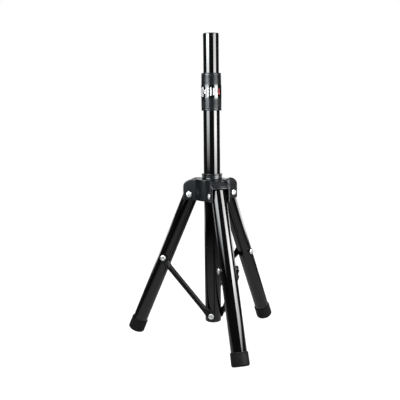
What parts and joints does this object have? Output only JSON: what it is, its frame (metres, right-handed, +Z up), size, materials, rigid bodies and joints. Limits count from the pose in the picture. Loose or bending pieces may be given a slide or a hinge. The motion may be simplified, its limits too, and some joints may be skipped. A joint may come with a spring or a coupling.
{
  "type": "speaker tripod stand",
  "caption": "Folding tripod stand for a loudspeaker: a telescoping 35 mm pole with a twist sleeve, a sliding hub, tube legs held by braces, and rubber feet.",
  "frame": {"origin": "on the floor, at the middle of the stand's bounding box with the legs open; the pole axis stands at x 0.02766, y 0.02182", "axes": "+Z up along the pole; the side seen first is towards -Y"},
  "size_m": [0.358, 0.3634, 0.7031],
  "materials": {
    "gloss_paint": "gloss",
    "leg_paint": "gloss",
    "brace_paint": "satin",
    "hub_plastic": "fine texture, satin",
    "sleeve_plastic": "fine horizontal ribs, satin",
    "band_gloss": "gloss, with a plain bar pattern",
    "nylon": "satin",
    "rubber": "matte",
    "chrome_fasteners": "bright plated",
    "pin_steel": "black"
  },
  "bodies": {
    "pole": {"outer_tube": "gloss_paint", "pole_end_plug": "nylon", "threaded_ferrule": "nylon", "collet": "nylon", "pole_screw_1": "chrome_fasteners", "pole_screw_2": "chrome_fasteners", "pole_screw_3": "chrome_fasteners"},
    "inner_pole": {"inner_tube": "gloss_paint", "inner_guide_bush": "nylon", "top_plug": "nylon", "top_pin_1": "pin_steel", "top_pin_2": "pin_steel", "top_pin_3": "pin_steel", "top_pin_4": "pin_steel"},
    "sleeve": {"twist_sleeve": "sleeve_plastic", "label_band": "band_gloss"},
    "hub": {"hub": "hub_plastic", "hub_collar": "hub_plastic", "clamp_pad": "nylon", "hub_bolt_1": "chrome_fasteners", "hub_bolt_2": "chrome_fasteners", "hub_bolt_3": "chrome_fasteners", "hub_nut_1": "chrome_fasteners", "hub_nut_2": "chrome_fasteners", "hub_nut_3": "chrome_fasteners"},
    "knob": {"clamp_knob": "hub_plastic", "clamp_screw": "chrome_fasteners"},
    "leg_1": {"leg_tube_1": "leg_paint", "leg_insert_1": "nylon", "foot_1": "rubber", "leg_bolt_1": "chrome_fasteners", "leg_spacer_1": "nylon", "brace_washer_1": "nylon"},
    "brace_1": {"brace_1": "brace_paint", "brace_nut_1": "chrome_fasteners"},
    "leg_2": {"leg_tube_2": "leg_paint", "leg_insert_2": "nylon", "foot_2": "rubber", "leg_bolt_2": "chrome_fasteners", "leg_spacer_2": "nylon", "brace_washer_2": "nylon"},
    "brace_2": {"brace_2": "brace_paint", "brace_nut_2": "chrome_fasteners"},
    "leg_3": {"leg_tube_3": "leg_paint", "leg_insert_3": "nylon", "foot_3": "rubber", "leg_bolt_3": "chrome_fasteners", "leg_spacer_3": "nylon", "brace_washer_3": "nylon"},
    "brace_3": {"brace_3": "brace_paint", "brace_nut_3": "chrome_fasteners"}
  },
  "joints": [
    {"name": "inner_pole_slide", "type": "slide", "parent": "pole", "child": "inner_pole", "axis": [0, 0, 1], "range_m": [0, 0.42]},
    {"name": "sleeve_twist", "type": "hinge", "parent": "pole", "child": "sleeve", "pos_m": [0.02766, 0.02182, 0.5337], "axis": [0, 0, 1], "range_deg": [0, 90]},
    {"name": "hub_slide", "type": "slide", "parent": "pole", "child": "hub", "axis": [0, 0, 1], "range_m": [0, 0.04896]},
    {"name": "knob_turn", "type": "hinge", "parent": "hub", "child": "knob", "pos_m": [0.02766, 0.02182, 0.351], "axis": [-0.289, 0.9573, 0], "range_deg": [0, 360]},
    {"name": "leg_1_hinge", "type": "hinge", "parent": "hub", "child": "leg_1", "pos_m": [-0.02039, 0.03309, 0.3446], "axis": [-0.2284, -0.9736, 0], "range_deg": [0, 23.32]},
    {"name": "brace_1_hinge", "type": "hinge", "parent": "pole", "child": "brace_1", "pos_m": [0.02766, 0.02182, 0.0575], "axis": [0.2284, 0.9736, 0], "range_deg": [0, 24.34]},
    {"name": "leg_2_hinge", "type": "hinge", "parent": "hub", "child": "leg_2", "pos_m": [0.04192, -0.02542, 0.3446], "axis": [0.9573, 0.289, 0], "range_deg": [0, 23.32]},
    {"name": "brace_2_hinge", "type": "hinge", "parent": "pole", "child": "brace_2", "pos_m": [0.02766, 0.02182, 0.0575], "axis": [-0.9573, -0.289, 0], "range_deg": [0, 24.34]},
    {"name": "leg_3_hinge", "type": "hinge", "parent": "hub", "child": "leg_3", "pos_m": [0.06144, 0.05779, 0.3446], "axis": [-0.729, 0.6845, 0], "range_deg": [0, 23.32]},
    {"name": "brace_3_hinge", "type": "hinge", "parent": "pole", "child": "brace_3", "pos_m": [0.02766, 0.02182, 0.0575], "axis": [0.729, -0.6845, 0], "range_deg": [0, 24.34]}
  ],
  "couplings": [
    {"joint": "leg_1_hinge", "follows": "hub_slide", "rad_per_m": 8.3065},
    {"joint": "brace_1_hinge", "follows": "hub_slide", "rad_per_m": 8.6709},
    {"joint": "leg_2_hinge", "follows": "hub_slide", "rad_per_m": 8.3065},
    {"joint": "brace_2_hinge", "follows": "hub_slide", "rad_per_m": 8.6709},
    {"joint": "leg_3_hinge", "follows": "hub_slide", "rad_per_m": 8.3065},
    {"joint": "brace_3_hinge", "follows": "hub_slide", "rad_per_m": 8.6709}
  ]
}
